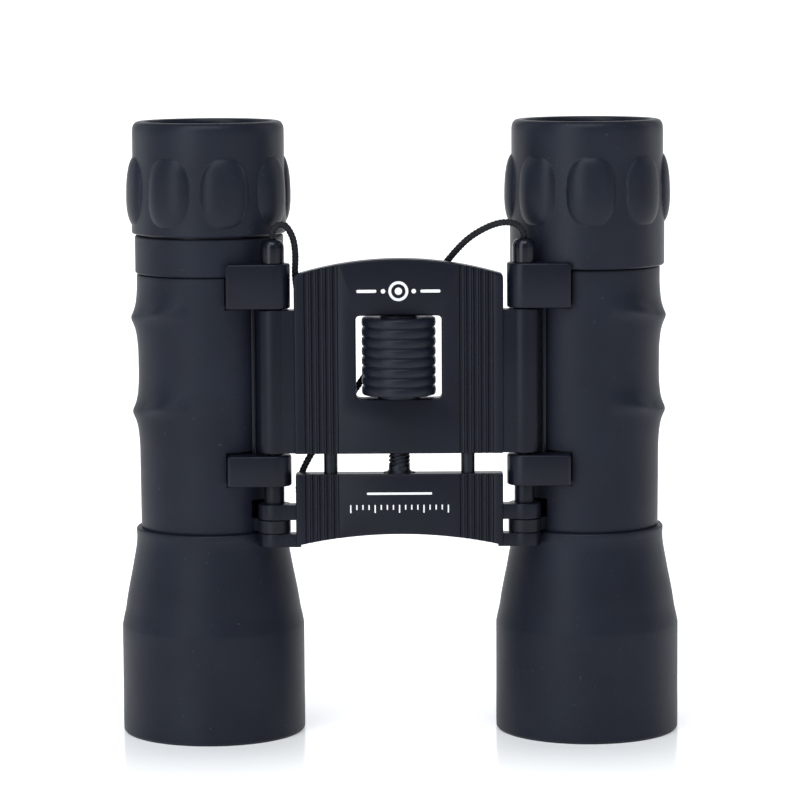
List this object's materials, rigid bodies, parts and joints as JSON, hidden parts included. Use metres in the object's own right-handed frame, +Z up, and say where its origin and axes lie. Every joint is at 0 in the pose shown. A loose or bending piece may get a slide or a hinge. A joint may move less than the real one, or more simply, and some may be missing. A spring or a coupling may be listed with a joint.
{
  "type": "folding binoculars",
  "caption": "Compact roof-prism binoculars on a double hinge, with rubber-armoured barrels, a central focus wheel and a short cord loop.",
  "frame": {"origin": "on the floor under the middle of the standing body's box, cord left out", "axes": "+Z up along the barrels from the objectives to the eyepieces, +Y from the bridge's front face to the back, +X across both barrels"},
  "size_m": [0.112, 0.0395, 0.1228],
  "materials": {
    "bridge_plastic": "satin black moulded plastic",
    "cap_plastic": "satin black moulded plastic",
    "lug_plastic": "satin black moulded plastic",
    "armour_rubber": "soft-touch matt rubber",
    "hood_rubber": "soft-touch matt rubber",
    "eyecup_rubber": "soft-touch matt rubber",
    "wheel_rubber": "matt rubber",
    "inner_plastic": "matt black plastic",
    "steel": "blackened steel",
    "brass": "machined",
    "coated_glass": "coated",
    "clear_glass": "polished",
    "black_metal": "matt black",
    "braid": "fine braided polyester"
  },
  "bodies": {
    "bridge": {"upper_bridge": "bridge_plastic", "wheel_washer": "steel", "cord": "braid", "hinge_pin_left": "steel", "hinge_pin_right": "steel", "strap_cap_left": "cap_plastic", "strap_cap_right": "cap_plastic"},
    "wheel": {"focus_wheel": "wheel_rubber", "focus_wheel_hub": "bridge_plastic", "focus_nut": "brass"},
    "focus_slide": {"focus_plate": "bridge_plastic", "focus_screw": "steel", "screw_collar": "steel", "guide_pin_left": "steel", "guide_pin_right": "steel"},
    "barrel_left": {"barrel_housing_left": "lug_plastic", "barrel_armour_left": "armour_rubber", "objective_hood_left": "hood_rubber", "prism_holder_left": "inner_plastic", "half_penta_prism_left": "clear_glass", "roof_prism_left": "clear_glass", "dioptre_collar_left": "armour_rubber", "dioptre_retainer_left": "inner_plastic"},
    "barrel_right": {"barrel_housing_right": "lug_plastic", "barrel_armour_right": "armour_rubber", "objective_hood_right": "hood_rubber", "prism_holder_right": "inner_plastic", "half_penta_prism_right": "clear_glass", "roof_prism_right": "clear_glass", "eyecup_right": "eyecup_rubber", "ocular_cell_right": "inner_plastic", "field_lens_right": "clear_glass", "eye_lens_right": "coated_glass", "eye_lens_ring_right": "black_metal", "eyepiece_spacer_right": "black_metal"},
    "dioptre_ring": {"eyecup_left": "eyecup_rubber"},
    "dioptre_cell": {"ocular_cell_left": "inner_plastic", "field_lens_left": "clear_glass", "eye_lens_left": "coated_glass", "eye_lens_ring_left": "black_metal", "eyepiece_spacer_left": "black_metal"},
    "carrier_left": {"lens_carrier_left": "inner_plastic", "objective_lens_left": "coated_glass", "objective_ring_left": "black_metal"},
    "carrier_right": {"lens_carrier_right": "inner_plastic", "objective_lens_right": "coated_glass", "objective_ring_right": "black_metal"}
  },
  "joints": [
    {"name": "left_fold", "type": "hinge", "parent": "bridge", "child": "barrel_left", "pos_m": [-0.0247, -0.0115, 0.07], "axis": [0, 0, -1], "range_deg": [0, 64]},
    {"name": "right_fold", "type": "hinge", "parent": "bridge", "child": "barrel_right", "pos_m": [0.0247, -0.0115, 0.07], "axis": [0, 0, 1], "range_deg": [0, 64]},
    {"name": "focus_wheel_turn", "type": "hinge", "parent": "bridge", "child": "wheel", "pos_m": [0, -0.0121, 0.0781], "axis": [0, 0, 1], "range_deg": [0, 382.5]},
    {"name": "focus_travel", "type": "slide", "parent": "bridge", "child": "focus_slide", "axis": [0, 0, 1], "range_m": [0, 0.0034]},
    {"name": "left_carrier_travel", "type": "slide", "parent": "barrel_left", "child": "carrier_left", "axis": [0, 0, 1], "range_m": [0, 0.0034]},
    {"name": "right_carrier_travel", "type": "slide", "parent": "barrel_right", "child": "carrier_right", "axis": [0, 0, 1], "range_m": [0, 0.0034]},
    {"name": "dioptre_turn", "type": "hinge", "parent": "barrel_left", "child": "dioptre_ring", "pos_m": [-0.0377, 0.0018, 0.11], "axis": [0, 0, 1], "range_deg": [-60, 60]},
    {"name": "dioptre_travel", "type": "slide", "parent": "barrel_left", "child": "dioptre_cell", "axis": [0, 0, 1], "range_m": [-0.00079, 0.00079]}
  ],
  "couplings": [
    {"joint": "focus_wheel_turn", "follows": "focus_travel", "rad_per_m": 1963.4},
    {"joint": "left_carrier_travel", "follows": "focus_travel", "ratio": 1},
    {"joint": "right_carrier_travel", "follows": "focus_travel", "ratio": 1},
    {"joint": "dioptre_turn", "follows": "dioptre_travel", "rad_per_m": 1325.5}
  ]
}
